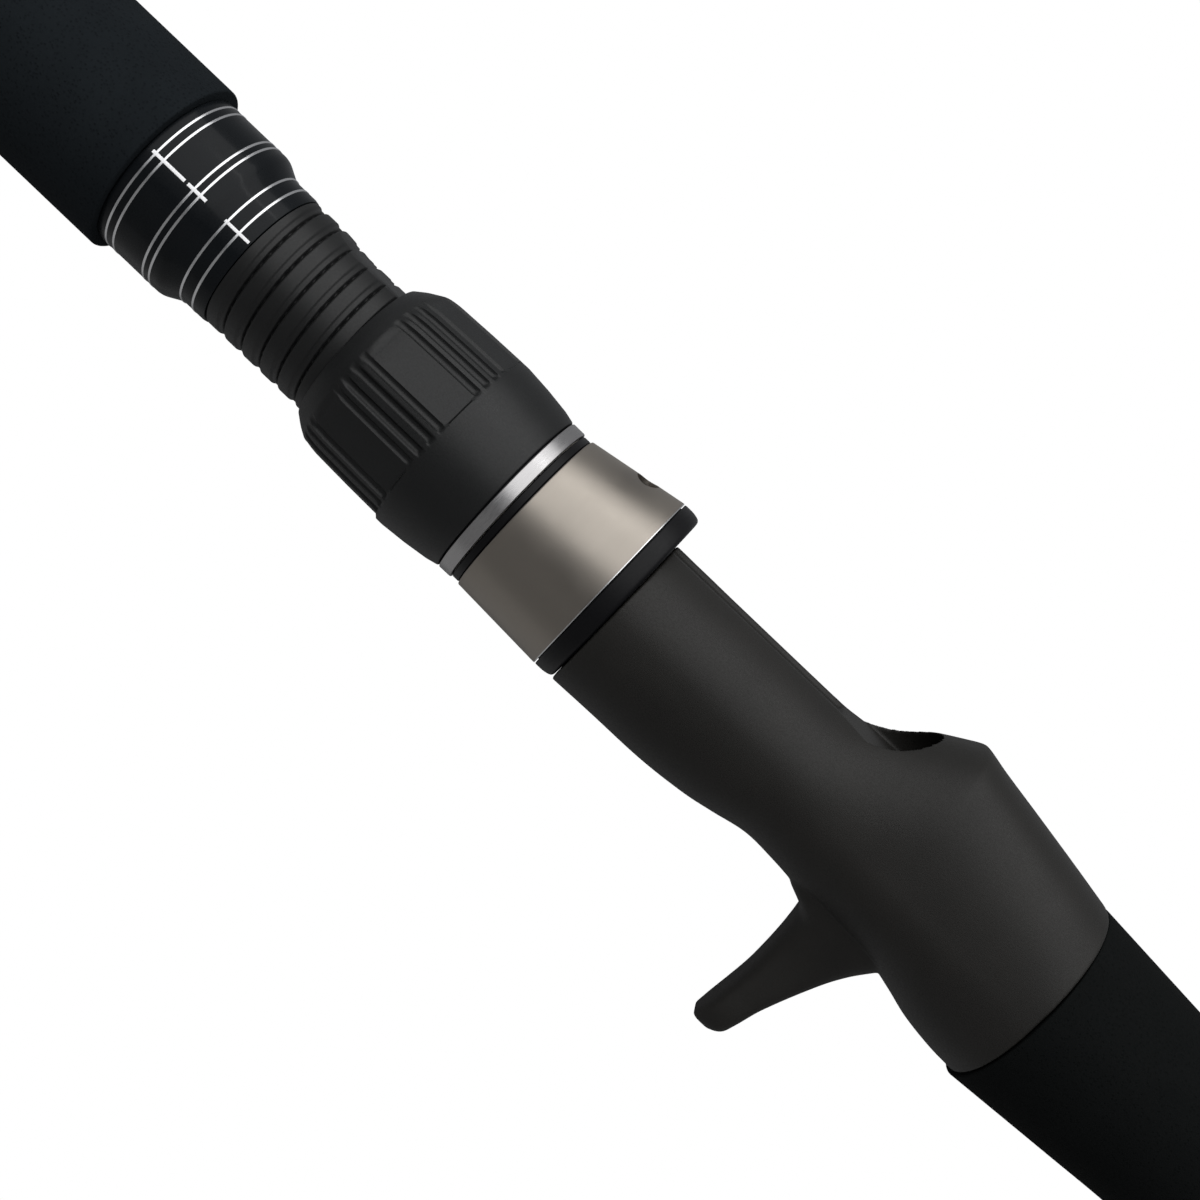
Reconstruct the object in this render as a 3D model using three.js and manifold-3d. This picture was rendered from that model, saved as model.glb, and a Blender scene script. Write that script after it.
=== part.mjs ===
// Telescopic casting rod, stored closed: trigger reel seat with a screw-down front hood, two foam grips,
// a butt section with three sections telescoped inside it, and their line guides.
// Millimetres. The rod lies along X with its butt face at x = 0 and its tip towards -X.
// +Z is the side that carries the reel and the guides, -Z the side of the trigger.
// Positions along the rod are given as stations: a station s is the distance from the butt face, so x = -s.

import * as THREE from 'three';
import { mergeVertices } from 'three/addons/utils/BufferGeometryUtils.js';
import Module from 'manifold-3d';

const wasm = await Module();
wasm.setup();

// ---------------------------------------------------------------- driving dimensions

const GAP = 0.15; // assembly gap between pieces bonded or pressed together
const RUN = 0.25; // running clearance between pieces that move on each other
const ROUND = 16; // sides of a turned piece
const THREAD_SIDES = 16; // steps in a turn of the screw thread
const FINE = 24; // sides of a turned piece that shows its outline

// stations along the rod
const CAP_FRONT = 14;
const COLLAR_FRONT = 40;
const GRIP_FRONT = 179.8;
const SEAT_REAR = 180;
const DECK_REAR = 219;
const HOOD_REAR = 251.4;
const RIM_FRONT = 254.4;
const SLEEVE_FRONT = 268.4;
const HOOD_FRONT = 269.6;
const NUT_REAR = 270.2;
const NUT_FRONT = 298;
const BARREL_FRONT = 314.8;
const CHECK_FRONT = 332;
const FOREGRIP_FRONT = 427;
const FORE_CHECK_FRONT = 439;
const BUTT_MOUTH = 500;
const SECTION_2_MOUTH = 512;
const SECTION_3_MOUTH = 523.5;
const TIP_END = 541;

// radii
const BLANK = { outer: 6.9, inner: 5.9 };
const SECTION_2 = { outer: 5.6, inner: 4.7 };
const SECTION_3 = { outer: 4.4, inner: 3.6 };
const TIP = { base: 3.3, end: 1.0 };
const BODY_BORE = 8.4;
const BARREL_BORE = BLANK.outer + GAP;
const BARREL_ROOT = 9.7;
const THREAD_CREST = 10.35;
const CHECK_RADIUS = 11.9;
const CHECK_NECK = 10.5;
const FOREGRIP_RADIUS = 13.2;

// reel seat
const DECK_Z = 9.9;
const FLAT_Z = 9.3; // the flat along the barrel's reel side, which keeps the hood from turning
const MOUTH_FLOOR_Z = 8.6; // the same flat, lower where the reel's foot lies under the hood
const MOUTH_FLOOR_FRONT = 262;
const FLAT_FRONT = 306;
const FLAT_RUN_OUT = 5;
const THREAD_PITCH = 3.1;
const THREAD_START = 281;
const THREAD_WIDTH = 1.5;
const KEY_HALF_WIDTH = 3.6;

// ---------------------------------------------------------------- geometry helpers

// A function through a few [station, value] points, smooth between them.
function smoothProfile(points) {
  const slope = points.map((_, i) => {
    const [a, b] = [points[Math.max(i - 1, 0)], points[Math.min(i + 1, points.length - 1)]];
    return (b[1] - a[1]) / (b[0] - a[0]);
  });
  return (s) => {
    let i = 0;
    while (i < points.length - 2 && s > points[i + 1][0]) i += 1;
    const [s0, v0] = points[i];
    const [s1, v1] = points[i + 1];
    const h = s1 - s0;
    const t = THREE.MathUtils.clamp((s - s0) / h, 0, 1);
    const [t2, t3] = [t * t, t * t * t];
    return (2 * t3 - 3 * t2 + 1) * v0 + (t3 - 2 * t2 + t) * h * slope[i]
      + (3 * t2 - 2 * t3) * v1 + (t3 - t2) * h * slope[i + 1];
  };
}

// The same points joined by straight lines.
function linearProfile(points) {
  return (s) => {
    let i = 0;
    while (i < points.length - 2 && s > points[i + 1][0]) i += 1;
    const [s0, v0] = points[i];
    const [s1, v1] = points[i + 1];
    return THREE.MathUtils.mapLinear(THREE.MathUtils.clamp(s, s0, s1), s0, s1, v0, v1);
  };
}

function evenly(from, to, count) {
  return Array.from({ length: count + 1 }, (_, i) => from + ((to - from) * i) / count);
}

function signedVolume(geometry) {
  const p = geometry.attributes.position;
  const index = geometry.index.array;
  const [a, b, c] = [new THREE.Vector3(), new THREE.Vector3(), new THREE.Vector3()];
  let volume = 0;
  for (let i = 0; i < index.length; i += 3) {
    a.fromBufferAttribute(p, index[i]);
    b.fromBufferAttribute(p, index[i + 1]);
    c.fromBufferAttribute(p, index[i + 2]);
    volume += a.dot(b.cross(c)) / 6;
  }
  return volume;
}

// Welds a geometry's vertices and hands it to manifold with its faces pointing out.
function solid(geometry) {
  const bare = geometry.clone();
  for (const name of Object.keys(bare.attributes)) {
    if (name !== 'position') bare.deleteAttribute(name);
  }
  const welded = mergeVertices(bare, 1e-4);
  const from = welded.index.array;
  const outward = signedVolume(welded) > 0;
  const triangles = [];
  for (let i = 0; i < from.length; i += 3) {
    const [a, b, c] = [from[i], from[i + 1], from[i + 2]];
    if (a === b || b === c || c === a) continue;
    triangles.push(a, outward ? b : c, outward ? c : b);
  }
  return new wasm.Manifold(new wasm.Mesh({
    numProp: 3,
    vertProperties: new Float32Array(welded.attributes.position.array),
    triVerts: new Uint32Array(triangles),
  }));
}

function toGeometry(manifold) {
  const mesh = manifold.getMesh();
  const geometry = new THREE.BufferGeometry();
  geometry.setAttribute('position', new THREE.BufferAttribute(new Float32Array(mesh.vertProperties), 3));
  geometry.setIndex(new THREE.BufferAttribute(new Uint32Array(mesh.triVerts), 1));
  geometry.computeVertexNormals();
  return geometry;
}

// A turned piece: a closed outline of [station, radius] points revolved about the rod's axis.
function turned(outline, sides = ROUND) {
  const points = [...outline, outline[0]].map(([s, r]) => new THREE.Vector2(r, s));
  return solid(new THREE.LatheGeometry(points, sides).rotateZ(Math.PI / 2));
}

// A round bar on the rod's axis, as a tool for boring or facing.
function bar(from, to, radius, sides = ROUND) {
  return turned([[from, 0], [from, radius], [to, radius], [to, 0]], sides);
}

function tubePiece(from, to, outer, inner, sides = ROUND) {
  return turned([[from, inner], [from, outer], [to, outer], [to, inner]], sides);
}

// An outline of [station, z] points extruded to both sides of the rod's middle plane.
function prism(outline, halfWidth) {
  const shape = new THREE.Shape(outline.map(([s, z]) => new THREE.Vector2(-s, z)));
  const slab = new THREE.ExtrudeGeometry(shape, { depth: 2 * halfWidth, bevelEnabled: false });
  return solid(slab.rotateX(Math.PI / 2).translate(0, halfWidth, 0));
}

function block(from, to, halfWidth, low, high) {
  return prism([[from, low], [to, low], [to, high], [from, high]], halfWidth);
}

// An oval of half-width w with its own height above and below, squarer as the power grows past 2.
function oval({ w, up, down, power = 2, lowPower = 2, z = 0 }, sides) {
  return Array.from({ length: sides }, (_, i) => {
    const t = (2 * Math.PI * i) / sides;
    const [c, s] = [Math.cos(t), Math.sin(t)];
    const n = s > 0 ? power : lowPower;
    const height = s > 0 ? up : -down;
    return [w * Math.sign(c) * Math.abs(c) ** (2 / n), z + height * Math.abs(s) ** (2 / n)];
  });
}

// Skins rings of equal point counts, each a list of Vector3, and closes both ends with a fan.
function skin(rings) {
  const sides = rings[0].length;
  const positions = rings.flat().flatMap((p) => [p.x, p.y, p.z]);
  const index = [];
  for (let r = 0; r < rings.length - 1; r += 1) {
    for (let i = 0; i < sides; i += 1) {
      const j = (i + 1) % sides;
      const [a, b] = [r * sides + i, r * sides + j];
      index.push(a, b, a + sides, b, b + sides, a + sides);
    }
  }
  for (const [ring, flip] of [[0, true], [rings.length - 1, false]]) {
    const centre = rings[ring].reduce((sum, p) => sum.add(p), new THREE.Vector3()).divideScalar(sides);
    const tip = positions.length / 3;
    positions.push(centre.x, centre.y, centre.z);
    for (let i = 0; i < sides; i += 1) {
      const [a, b] = [ring * sides + i, ring * sides + ((i + 1) % sides)];
      index.push(tip, flip ? b : a, flip ? a : b);
    }
  }
  const geometry = new THREE.BufferGeometry();
  geometry.setAttribute('position', new THREE.Float32BufferAttribute(positions, 3));
  geometry.setIndex(index);
  return solid(geometry);
}

// A body lofted along the rod through ovals given by a function of the station.
function lofted(stations, ovalAt, sides = 28) {
  return skin(stations.map((s) => oval(ovalAt(s), sides).map(([y, z]) => new THREE.Vector3(-s, y, z))));
}

// A point at a station, at an angle turned about the -X axis from +Z.
function aroundRod(s, radius, angle) {
  return new THREE.Vector3(-s, radius * Math.sin(angle), radius * Math.cos(angle));
}

// One continuous screw tooth between two radii, its middle starting at a station.
function screwTooth({ start, turns, width, rootRadius, crestRadius, flank }) {
  const rings = evenly(0, turns, Math.round(turns * THREAD_SIDES)).map((turn) => {
    const angle = 2 * Math.PI * turn;
    const middle = start + THREAD_PITCH * turn;
    const foot = width / 2 + flank;
    return [
      aroundRod(middle - foot, rootRadius, angle),
      aroundRod(middle - width / 2, crestRadius, angle),
      aroundRod(middle + width / 2, crestRadius, angle),
      aroundRod(middle + foot, rootRadius, angle),
    ];
  });
  return skin(rings);
}

// A round wire along a smooth curve through points.
function wire(points, radius, steps = 10) {
  const circle = new THREE.Shape();
  circle.absarc(0, 0, radius, 0, 2 * Math.PI);
  const extrudePath = new THREE.CatmullRomCurve3(points.map((p) => new THREE.Vector3(...p)));
  return solid(new THREE.ExtrudeGeometry(circle, { steps, extrudePath, curveSegments: 4 }));
}

// ---------------------------------------------------------------- materials

const finish = (color, roughness, metalness) => ({ color, roughness, metalness });
const FINISH = {
  foam: finish('#16191c', 0.95, 0.0),
  rearFoam: finish('#0f1214', 0.95, 0.0),
  gloss: finish('#0b0c0e', 0.12, 0.0),
  silver: finish('#c9c6c0', 0.3, 1.0),
  graphite: finish('#2a2a2a', 0.6, 0.0),
  nutBlack: finish('#26282a', 0.5, 0.0),
  gunmetal: finish('#8f887e', 0.35, 1.0),
  nylon: finish('#d8d4c8', 0.6, 0.0),
  carbon: finish('#15171a', 0.25, 0.2),
  thread: finish('#1a1a1c', 0.4, 0.0),
  steel: finish('#6d7074', 0.3, 1.0),
  ceramic: finish('#1d2023', 0.15, 0.0),
  rubber: finish('#111111', 0.9, 0.0),
  aluminium: finish('#3a3c40', 0.4, 0.9),
};

const rod = new THREE.Group();

function add(name, manifold, material) {
  const mesh = new THREE.Mesh(toGeometry(manifold), new THREE.MeshStandardMaterial(FINISH[material]));
  mesh.name = name;
  rod.add(mesh);
}

// ---------------------------------------------------------------- butt end and rear grip

const CAP_RADIUS = 14.6;
const SPIGOT = { radius: 5.0, front: 23 };
const COLLAR = { rear: 15.5, outer: 9.5, inner: SPIGOT.radius + RUN };

function buildButt() {
  const cap = turned([
    [0, 0], [0, CAP_RADIUS - 1.6], [0.5, CAP_RADIUS - 0.5], [1.8, CAP_RADIUS], [CAP_FRONT - 1.5, CAP_RADIUS],
    [CAP_FRONT - 0.4, CAP_RADIUS - 0.4], [CAP_FRONT, CAP_RADIUS - 1.4], [CAP_FRONT, SPIGOT.radius],
    [SPIGOT.front - 0.8, SPIGOT.radius], [SPIGOT.front, SPIGOT.radius - 0.8], [SPIGOT.front, 0],
  ], FINE);
  add('butt_cap', cap, 'aluminium');

  const sealRing = new THREE.TorusGeometry(6.6, 0.55, 6, ROUND).rotateY(Math.PI / 2);
  add('cap_seal', solid(sealRing.translate(-(CAP_FRONT + 0.75), 0, 0)), 'rubber');

  add('butt_collar', tubePiece(COLLAR.rear, COLLAR_FRONT, COLLAR.outer, COLLAR.inner), 'aluminium');
}

const REAR_GRIP_RADIUS = smoothProfile([
  [15, 13.9], [40, 13.2], [75, 12.3], [110, 12.0], [140, 12.3], [154, 12.75], [163.5, 13.4],
  [GRIP_FRONT, 14.5],
]);

function buildRearGrip() {
  const rear = CAP_FRONT + 0.3;
  const outside = [15.5, 40, 75, 110, 135, 150, 160, 170, GRIP_FRONT];
  const grip = turned([
    [rear, COLLAR.outer + GAP], [rear, 13.2], [14.7, 13.7],
    ...outside.map((s) => [s, REAR_GRIP_RADIUS(s)]),
    [GRIP_FRONT, BLANK.outer + GAP], [COLLAR_FRONT + 0.5, BLANK.outer + GAP],
    [COLLAR_FRONT + 0.5, COLLAR.outer + GAP],
  ], FINE);
  add('rear_grip', grip, 'rearFoam');
}

// ---------------------------------------------------------------- reel seat

const BODY = {
  up: smoothProfile([
    [180, 14.65], [186, 15.7], [194, 17.05], [201, 18.1], [204.6, 18.6], [205.6, 18.55], [207.5, 17.9],
    [210, 16.6], [213, 14.7], [216, 12.9], [218.5, 11.6], [221, 10.65], [226, 10.45], [240, 10.4],
    [248, 10.45], [251.4, 10.5],
  ]),
  down: smoothProfile([
    [180, 13.85], [184, 13.7], [189, 13.0], [193, 11.9], [197, 11.0], [204, 10.6], [210, 10.5], [215, 10.1],
    [220, 10.0], [225, 11.1], [229, 11.9], [236, 12.6], [245, 12.75], [251.4, 12.9],
  ]),
  halfWidth: smoothProfile([
    [180, 14.3], [190, 13.9], [200, 13.4], [207, 13.0], [214, 12.3], [222, 11.9], [236, 12.1], [251.4, 12.5],
  ]),
};

const POCKET_UP = smoothProfile([[190, 0.8], [197, 3.6], [206, 5.7], [214, 6.6], [DECK_REAR + 4, 7.2]]);

// The finger trigger's front and rear edges and half-width, by depth below the axis.
const TRIGGER = {
  front: smoothProfile([[8, 214], [10.2, 211.8], [11.4, 209], [12.6, 208], [21.6, 207.3], [31.7, 208.6]]),
  rear: smoothProfile([
    [8, 193.2], [11.3, 195.7], [14, 197.4], [17.1, 198.9], [25.1, 202], [29.5, 203.5], [31.7, 204.8],
  ]),
  halfWidth: smoothProfile([[8, 6.5], [12, 5.4], [18, 4.7], [25, 4.5], [31.7, 4.6]]),
  tip: 32.2,
};

function buildTrigger() {
  const depths = [8, 10, 11.2, 12.4, 14, 17, 20, 24, 28, 30.4, 31.5, TRIGGER.tip];
  const rings = depths.map((depth) => {
    const d = Math.min(depth, 31.7);
    const shrink = depth === TRIGGER.tip ? 0.6 : 1;
    const middle = (TRIGGER.front(d) + TRIGGER.rear(d)) / 2;
    const length = ((TRIGGER.front(d) - TRIGGER.rear(d)) / 2) * shrink;
    const width = TRIGGER.halfWidth(d) * shrink;
    return oval({ w: length, up: width, down: width, power: 2.6, lowPower: 2.6 }, 20)
      .map(([along, across]) => new THREE.Vector3(-middle + along, across, -depth));
  });
  return skin(rings);
}

function threadedBarrel() {
  const turns = (BARREL_FRONT - THREAD_START) / THREAD_PITCH;
  const tooth = screwTooth({
    start: THREAD_START, turns: turns + 0.5, width: THREAD_WIDTH, flank: 0.15,
    rootRadius: BARREL_ROOT - 0.6, crestRadius: THREAD_CREST,
  });
  return bar(HOOD_REAR - 2, BARREL_FRONT, BARREL_ROOT, THREAD_SIDES)
    .add(tooth)
    .subtract(block(BARREL_FRONT, BARREL_FRONT + 10, 20, -20, 20))
    .subtract(prism([
      [HOOD_REAR, MOUTH_FLOOR_Z], [MOUTH_FLOOR_FRONT, MOUTH_FLOOR_Z], [MOUTH_FLOOR_FRONT, FLAT_Z],
      [FLAT_FRONT, FLAT_Z], [FLAT_FRONT + FLAT_RUN_OUT, THREAD_CREST + 0.1],
      [FLAT_FRONT + FLAT_RUN_OUT, 20], [HOOD_REAR, 20],
    ], 20));
}

function buildReelSeat() {
  const stations = [
    SEAT_REAR, 184, 188, 192, 196, 200, 203, 205.5, 208, 210, 212.5, 215, 217, DECK_REAR,
    ...evenly(221, 237, 5), 244, HOOD_REAR,
  ];
  const outside = lofted(stations, (s) => ({
    w: BODY.halfWidth(s), up: BODY.up(s), down: BODY.down(s), power: 2.05, lowPower: 2.15,
  }));
  const aboveDeck = prism([
    [DECK_REAR + 1.5, DECK_Z], [HOOD_REAR + 1, DECK_Z], [HOOD_REAR + 1, 30], [214, 30], [214, 15],
  ], 20);
  const pocket = lofted([191, 192, 194, 197, 201, 206, 211, 216, DECK_REAR + 3], (s) => ({
    w: Math.min(6.8, 4.6 + (s - 191) * 0.5), up: POCKET_UP(s), down: 0.02, z: DECK_Z,
  }), 20);
  const seat = outside
    .subtract(aboveDeck)
    .subtract(pocket)
    .add(buildTrigger())
    .add(threadedBarrel())
    .subtract(bar(SEAT_REAR - 1, HOOD_REAR - 4, BODY_BORE))
    .subtract(bar(HOOD_REAR - 5, BARREL_FRONT + 1, BARREL_BORE));
  add('reel_seat', seat, 'graphite');

  const arbor = (from, to) => tubePiece(from, to, BODY_BORE - GAP, BLANK.outer + GAP);
  add('seat_arbor_rear', arbor(183, 197), 'nylon');
  add('seat_arbor_front', arbor(228, 244), 'nylon');
}

// ---------------------------------------------------------------- sliding hood

const SLEEVE_WALL = 0.6;
const INSERT_BORE = THREAD_CREST + RUN;
const HOOD = {
  up: linearProfile([[HOOD_REAR, 14.9], [RIM_FRONT, 14.9], [SLEEVE_FRONT, 12.5]]),
  down: linearProfile([[HOOD_REAR, 13.1], [RIM_FRONT, 13.1], [SLEEVE_FRONT, 12.5]]),
  halfWidth: linearProfile([[HOOD_REAR, 13.0], [RIM_FRONT, 13.0], [SLEEVE_FRONT, 12.5]]),
};

function hoodLoft(stations, inset) {
  return lofted(stations, (s) => ({
    w: HOOD.halfWidth(s) - inset, up: HOOD.up(s) - inset, down: HOOD.down(s) - inset, power: 2.1,
  }));
}

function buildHood() {
  const whole = [RIM_FRONT, 258, 262, 265, SLEEVE_FRONT];
  const hole = new THREE.CylinderGeometry(1, 1, 8, 24).rotateX(Math.PI / 2).scale(1.55, 2.8, 1);
  const sleeve = hoodLoft(whole, 0)
    .subtract(hoodLoft([RIM_FRONT - 1, ...whole, SLEEVE_FRONT + 1], SLEEVE_WALL))
    .subtract(solid(hole.translate(-259.8, 0, 13)));
  add('hood_sleeve', sleeve, 'gunmetal');

  const INSERT_INSET = SLEEVE_WALL + GAP;
  const pocketFront = 262;
  const rimInsets = [
    [HOOD_REAR + 0.05, 0.9], [HOOD_REAR + 0.5, 0.3], [HOOD_REAR + 1.2, 0], [RIM_FRONT - GAP, 0],
  ];
  const rim = skin(rimInsets.map(([s, inset]) => oval({
    w: HOOD.halfWidth(s) - inset, up: HOOD.up(s) - inset, down: HOOD.down(s) - inset, power: 2.1,
  }, 28).map(([y, z]) => new THREE.Vector3(-s, y, z))));
  const inner = hoodLoft([RIM_FRONT - 1, 258, 262, 265, SLEEVE_FRONT - 0.01], INSERT_INSET);
  const flange = bar(SLEEVE_FRONT - 0.5, HOOD_FRONT, 11.6, FINE)
    .add(bar(SLEEVE_FRONT + GAP, HOOD_FRONT, 12.3, FINE));
  const pocket = lofted([HOOD_REAR - 1, 256, pocketFront], (s) => ({
    w: 11.2, up: 13.35 - Math.max(0, s - RIM_FRONT) * 0.12, down: 10.6, power: 2.1,
  }));
  const key = block(pocketFront, HOOD_FRONT, KEY_HALF_WIDTH, FLAT_Z + RUN, 11.2);
  const insert = rim.add(inner).add(flange)
    .subtract(pocket)
    .subtract(bar(HOOD_REAR - 1, HOOD_FRONT + 1, INSERT_BORE, FINE))
    .add(key);
  add('hood_insert', insert, 'graphite');

  add('thrust_washer', tubePiece(HOOD_FRONT + 0.12, NUT_REAR - 0.12, 11.6, INSERT_BORE + 0.1), 'nylon');
}

// ---------------------------------------------------------------- lock nut

const NUT_BORE = THREAD_CREST + RUN;
const NUT_RIBS = {
  groups: 7, grooves: 4, first: 269, pitch: 8.1, depth: 0.55, radius: 0.8, // angles in degrees
};

function buildNut() {
  const outside = turned([
    [NUT_REAR, NUT_BORE], [NUT_REAR, 11.7], [272.1, 11.7], [272.1, 12.6], [276, 13.3], [280.5, 13.75],
    [292.8, 13.4], [294.3, 13.2], [296.5, 12.0], [297.6, 11.1], [NUT_FRONT, 10.8], [NUT_FRONT, NUT_BORE],
  ], 40);
  const grooves = [];
  for (let group = 0; group < NUT_RIBS.groups; group += 1) {
    for (let k = 0; k < NUT_RIBS.grooves; k += 1) {
      const fromMiddle = (k - (NUT_RIBS.grooves - 1) / 2) * NUT_RIBS.pitch;
      const angle = THREE.MathUtils.degToRad(NUT_RIBS.first + (360 / NUT_RIBS.groups) * group + fromMiddle);
      const groove = new THREE.CylinderGeometry(NUT_RIBS.radius, NUT_RIBS.radius, 14, 6);
      groove.rotateZ(Math.PI / 2).translate(-288.6, 0, 13.9 + NUT_RIBS.radius - NUT_RIBS.depth - 0.35);
      grooves.push(solid(groove.rotateX(-angle)));
    }
  }
  const tooth = screwTooth({
    start: THREAD_START + THREAD_PITCH * 0.5, turns: 3, width: 0.9, flank: 0.15,
    rootRadius: NUT_BORE + 0.4, crestRadius: BARREL_ROOT + RUN,
  });
  const nut = grooves.reduce((body, groove) => body.subtract(groove), outside).add(tooth);
  add('lock_nut', nut, 'nutBlack');

  const ring = turned([
    [269.75, 11.85], [269.75, 12.4], [269.95, 12.55], [271.5, 12.55], [271.7, 12.4], [271.7, 11.85],
  ], FINE);
  add('nut_trim_ring', ring, 'silver');
}

// ---------------------------------------------------------------- check, trim rings and foregrip

const TRIM_RINGS = [330.6, 329.3, 324.2, 323.1, 318.9, 316.9];
const TRIM_RING_WIDTH = 0.4;
const CHECK_OUTLINE = linearProfile([
  [BARREL_FRONT, 10.4], [315.4, CHECK_NECK], [318.9, CHECK_NECK],
  [321.5, CHECK_RADIUS], [CHECK_FRONT, CHECK_RADIUS],
]);

function buildCheck() {
  const rear = BARREL_FRONT + GAP;
  const bore = BLANK.outer + GAP;
  const surface = [rear, 315.4, 318.9, 321.5, CHECK_FRONT].map((s) => [s, CHECK_OUTLINE(s)]);
  const body = turned([[rear, bore], ...surface, [CHECK_FRONT, bore]], FINE);
  const depth = 0.5;
  const grooved = TRIM_RINGS.reduce((check, s) => {
    const radius = CHECK_OUTLINE(s);
    const half = TRIM_RING_WIDTH / 2 + 0.08;
    return check.subtract(tubePiece(s - half, s + half, radius + 2, radius - depth - 0.1, FINE));
  }, body);
  add('front_check', grooved, 'gloss');
  TRIM_RINGS.forEach((s, i) => {
    const radius = CHECK_OUTLINE(s);
    const half = TRIM_RING_WIDTH / 2;
    add(`trim_ring_${i + 1}`, tubePiece(s - half, s + half, radius + 0.06, radius - depth, FINE), 'silver');
  });
}

function buildForegrip() {
  const rear = CHECK_FRONT + 0.15;
  const r = FOREGRIP_RADIUS;
  const grip = turned([
    [rear, BLANK.outer + GAP], [rear, r - 0.7], [rear + 0.2, r - 0.25], [rear + 0.7, r],
    [390, r], [410, r - 0.5],
    [422, r - 1.3], [426, r - 2.0], [FOREGRIP_FRONT, r - 3.0], [FOREGRIP_FRONT, BLANK.outer + GAP],
  ], FINE);
  add('foregrip', grip, 'foam');

  const check = turned([
    [FOREGRIP_FRONT + 0.15, BLANK.outer + GAP], [FOREGRIP_FRONT + 0.15, 10.4], [428.5, 10.6], [430, 10.2],
    [434, 8.7], [FORE_CHECK_FRONT - 0.6, 7.9], [FORE_CHECK_FRONT, 7.6],
    [FORE_CHECK_FRONT, BLANK.outer + GAP],
  ], FINE);
  add('foregrip_check', check, 'aluminium');
}

// ---------------------------------------------------------------- blanks

function buildBlanks() {
  add('butt_section', tubePiece(COLLAR_FRONT + 0.6, BUTT_MOUTH, BLANK.outer, BLANK.inner), 'carbon');
  add('section_2_blank', tubePiece(46, SECTION_2_MOUTH, SECTION_2.outer, SECTION_2.inner), 'carbon');
  add('section_3_blank', tubePiece(50, SECTION_3_MOUTH, SECTION_3.outer, SECTION_3.inner), 'carbon');
  const tipBase = 54;
  add('tip_blank', turned([
    [tipBase, 0], [tipBase, TIP.base], [tipBase + 20, TIP.base], [TIP_END, TIP.end], [TIP_END, 0],
  ], 24), 'carbon');

  const wrap = (from, to, radius) => tubePiece(from, to, radius + GAP + 0.45, radius + GAP);
  add('butt_wrap', wrap(478, 485.5, BLANK.outer), 'thread');
}

// ---------------------------------------------------------------- line guides

// A guide: a collar on the section, a ring holder above it and three wire legs, with a ceramic ring inside.
function buildGuide({ frame, ring, from, to, bore, wall, ringStation, ringRadius, legs }) {
  const wireRadius = 0.65;
  const holderWall = 1.0;
  const outer = bore + wall;
  const ringOuter = ringRadius + 1.5;
  const holderOuter = ringOuter + GAP + holderWall;
  const centreZ = outer + holderOuter + legs;
  const holder = new THREE.TorusGeometry(holderOuter - holderWall / 2, holderWall / 2, 6, 16)
    .rotateY(Math.PI / 2);
  const sideY = (holderOuter - holderWall / 2) * Math.SQRT1_2;
  const sideZ = centreZ - sideY;
  const far = ringStation > (from + to) / 2 ? from + wireRadius + 0.3 : to - wireRadius - 0.3;
  const sunk = outer - 0.4;
  const leg = (side) => wire([
    [-ringStation, side * sideY, sideZ],
    [-(ringStation + (far - ringStation) * 0.35), side * sideY * 0.9, outer + (sideZ - outer) * 0.45],
    [-far, side * 1.6, sunk],
  ], wireRadius, 6);
  const post = wire([
    [-ringStation, 0, centreZ - holderOuter + holderWall / 2],
    [-ringStation, 0, (centreZ - holderOuter + sunk) / 2],
    [-ringStation, 0, sunk],
  ], wireRadius, 2);
  const body = tubePiece(from, to, outer, bore)
    .add(solid(holder.translate(-ringStation, 0, centreZ)))
    .add(leg(1))
    .add(leg(-1))
    .add(post);
  add(frame, body, 'steel');

  const insert = new THREE.TorusGeometry(ringRadius + 0.75, 0.75, 6, 16).rotateY(Math.PI / 2);
  add(ring, solid(insert.translate(-ringStation, 0, centreZ)), 'ceramic');
}

const GUIDES = [
  {
    frame: 'guide_1_frame', ring: 'guide_1_ring',
    from: 486, to: BUTT_MOUTH, bore: BLANK.outer + GAP, wall: 0.9,
    ringStation: 498.6, ringRadius: 4.2, legs: 3.0,
  },
  {
    frame: 'guide_2_frame', ring: 'guide_2_ring', from: BUTT_MOUTH + 0.4, to: SECTION_2_MOUTH,
    bore: SECTION_2.outer + GAP, wall: 0.9, ringStation: 510.6, ringRadius: 3.4, legs: 2.6,
  },
  {
    frame: 'guide_3_frame', ring: 'guide_3_ring', from: SECTION_2_MOUTH + 0.4, to: SECTION_3_MOUTH,
    bore: SECTION_3.outer + GAP, wall: 0.85, ringStation: 522.2, ringRadius: 2.8, legs: 2.2,
  },
  {
    frame: 'float_guide_frame', ring: 'float_guide_ring', from: SECTION_3_MOUTH + 0.4, to: 532,
    bore: 2.35, wall: 0.8, ringStation: 530.8, ringRadius: 2.4, legs: 1.8,
  },
  {
    frame: 'tip_top_frame', ring: 'tip_top_ring', from: 533.5, to: TIP_END + 3, bore: 1.35, wall: 0.8,
    ringStation: TIP_END + 2, ringRadius: 2.2, legs: 0.4,
  },
];

buildButt();
buildRearGrip();
buildReelSeat();
buildHood();
buildNut();
buildCheck();
buildForegrip();
buildBlanks();
GUIDES.forEach(buildGuide);

export default rod;
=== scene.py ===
"""Looks of a telescopic casting rod, stored closed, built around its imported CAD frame.

Lengths in the modelling code are millimetres and turn into metres where a mesh is made. Along the rod,
a station is the distance from the butt face, so x = -station. Angles round the rod are measured from +Z
towards +Y; the camera looks from -Y, and +Z is the side that carries the reel.
"""

import math

import bmesh
import bpy
import numpy as np
from mathutils import Matrix, Vector


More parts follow.
